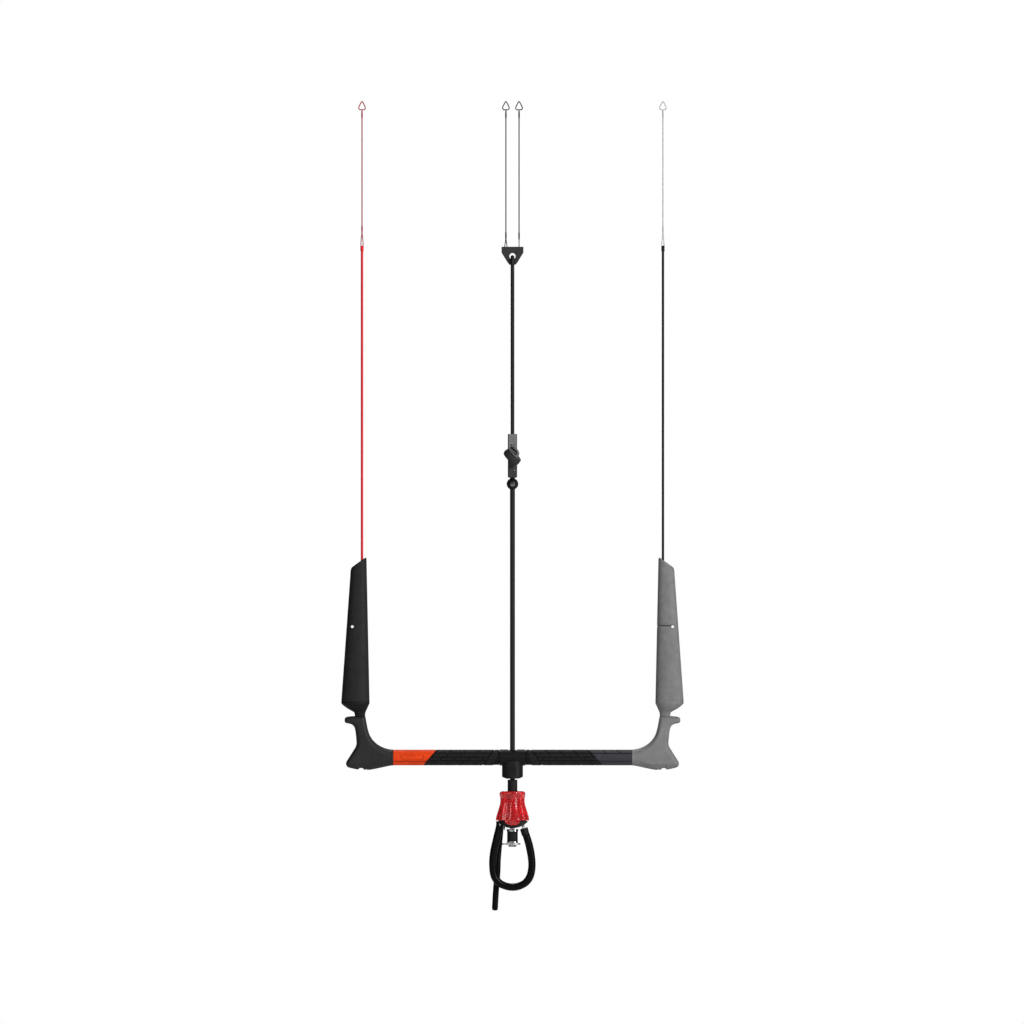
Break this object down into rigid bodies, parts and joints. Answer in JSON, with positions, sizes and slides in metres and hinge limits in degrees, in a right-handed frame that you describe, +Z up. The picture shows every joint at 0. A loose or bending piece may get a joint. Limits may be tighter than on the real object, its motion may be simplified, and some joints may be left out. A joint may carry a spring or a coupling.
{
  "type": "kitesurf control bar",
  "caption": "Kitesurf control bar: padded bar sliding on a throw line, floats, flying line stubs, rope trim cleat, push-away quick release and chicken loop.",
  "frame": {"origin": "seat of the harness hook, at the lowest point of the inside of the chicken loop", "axes": "+Z up along the throw line towards the kite, +X along the bar to the rider's right, +Y away from the rider"},
  "size_m": [0.579, 0.0569, 1.3659],
  "materials": {
    "black_plastic": "satin",
    "black_rubber": "matte",
    "black_tube": "satin",
    "steel": "satin",
    "alloy": "satin",
    "bearing_plastic": "satin",
    "red_handle": "gloss",
    "throw_line_jacket": "satin",
    "black_rope": "matte",
    "safety_rope": "matte",
    "eva_black": "matte",
    "eva_orange": "matte",
    "eva_slate": "matte",
    "eva_grey": "matte",
    "end_dark": "satin",
    "end_grey": "satin",
    "leader_red": "satin",
    "leader_black": "satin",
    "line_red": "satin",
    "line_grey": "satin",
    "line_black": "satin"
  },
  "bodies": {
    "release_body": {"release_base": "black_plastic", "release_core": "black_plastic", "core_cap": "black_plastic", "release_screws": "steel", "thrust_balls": "steel", "handle_spring": "steel", "anchor_pin": "steel", "loop_tube_fixed": "black_tube", "stick_bracket": "black_plastic", "stick_pin": "steel"},
    "release_handle": {"release_handle": "red_handle"},
    "loop_gate": {"loop_tube_opening": "black_tube", "loop_pin": "steel"},
    "locking_stick": {"locking_stick": "black_tube"},
    "throw_line": {"spindle": "black_plastic", "swivel_shaft": "steel", "swivel_barrel": "black_plastic", "barrel_rims": "steel", "swivel_nut": "steel", "throw_line": "throw_line_jacket", "safety_line": "safety_rope", "stopper_ball": "black_rubber", "ball_screw": "steel", "cleat_body": "alloy", "cleat_cover": "black_plastic", "cleat_screws": "steel", "trim_rope": "black_rope", "toggle_tail": "black_rope"},
    "leash_plate": {"leash_plate": "steel"},
    "trim_plate": {"trim_plate": "black_plastic", "front_line_left": "line_black", "front_line_right": "line_black"},
    "trim_toggle": {"trim_toggle": "black_rubber"},
    "hub_slider": {"hub_bushing": "bearing_plastic"},
    "bar": {"hub_insert_lower": "black_plastic", "hub_insert_upper": "black_plastic", "hub_cover": "black_plastic", "hub_collar": "black_plastic", "collar_bumper": "black_rubber", "bar_tube": "alloy", "grip_left": "eva_black", "grip_right": "eva_black", "grip_sleeve_left": "eva_orange", "grip_sleeve_right": "eva_slate", "bar_end_left": "end_dark", "bar_end_right": "end_grey", "bar_end_screws": "steel"},
    "float_left": {"float_body_left": "eva_black", "float_boot_left": "black_rubber", "leader_line_left": "leader_red", "steering_line_left": "line_red"},
    "float_right": {"float_body_right": "eva_grey", "float_boot_right": "black_rubber", "leader_line_right": "leader_black", "steering_line_right": "line_grey"}
  },
  "joints": [
    {"name": "handle_slide", "type": "slide", "parent": "release_body", "child": "release_handle", "axis": [0, 0, 1], "range_m": [0, 0.016], "stiffness_N_per_m": 800, "springref_m": -0.01, "deforming": ["handle_spring"]},
    {"name": "loop_opening", "type": "hinge", "parent": "release_body", "child": "loop_gate", "pos_m": [0, 0, -0.0068], "axis": [0, 1, 0], "range_deg": [0, 70]},
    {"name": "stick_swing", "type": "hinge", "parent": "release_body", "child": "locking_stick", "pos_m": [-0.02, 0.0134, 0.093], "axis": [1, 0, 0], "range_deg": [0, 75]},
    {"name": "swivel_spin", "type": "hinge", "parent": "release_body", "child": "throw_line", "pos_m": [0, 0, 0.1], "axis": [0, 0, 1], "continuous": true},
    {"name": "leash_turn", "type": "hinge", "parent": "throw_line", "child": "leash_plate", "pos_m": [0, 0, 0.066], "axis": [0, 0, 1], "continuous": true},
    {"name": "bar_slide", "type": "slide", "parent": "throw_line", "child": "hub_slider", "axis": [0, 0, 1], "range_m": [0, 0.434]},
    {"name": "bar_tilt", "type": "hinge", "parent": "hub_slider", "child": "bar", "pos_m": [0, 0, 0.2118], "axis": [0, 1, 0], "range_deg": [-12, 12]},
    {"name": "float_turn_left", "type": "hinge", "parent": "bar", "child": "float_left", "pos_m": [-0.258, 0, 0.2795], "axis": [0, 1, 0], "range_deg": [-12, 12]},
    {"name": "float_turn_right", "type": "hinge", "parent": "bar", "child": "float_right", "pos_m": [0.258, 0, 0.2795], "axis": [0, 1, 0], "range_deg": [-12, 12]},
    {"name": "trim_slide", "type": "slide", "parent": "throw_line", "child": "trim_plate", "axis": [0, 0, -1], "range_m": [0, 0.15], "deforming": ["trim_rope"]},
    {"name": "toggle_slide", "type": "slide", "parent": "throw_line", "child": "trim_toggle", "axis": [0, 0, -1], "range_m": [0, 0.3], "deforming": ["toggle_tail"]}
  ],
  "couplings": [
    {"joint": "loop_opening", "follows": "handle_slide", "rad_per_m": 76.3},
    {"joint": "float_turn_left", "follows": "bar_tilt", "ratio": -1},
    {"joint": "float_turn_right", "follows": "bar_tilt", "ratio": -1},
    {"joint": "toggle_slide", "follows": "trim_slide", "ratio": 2}
  ]
}
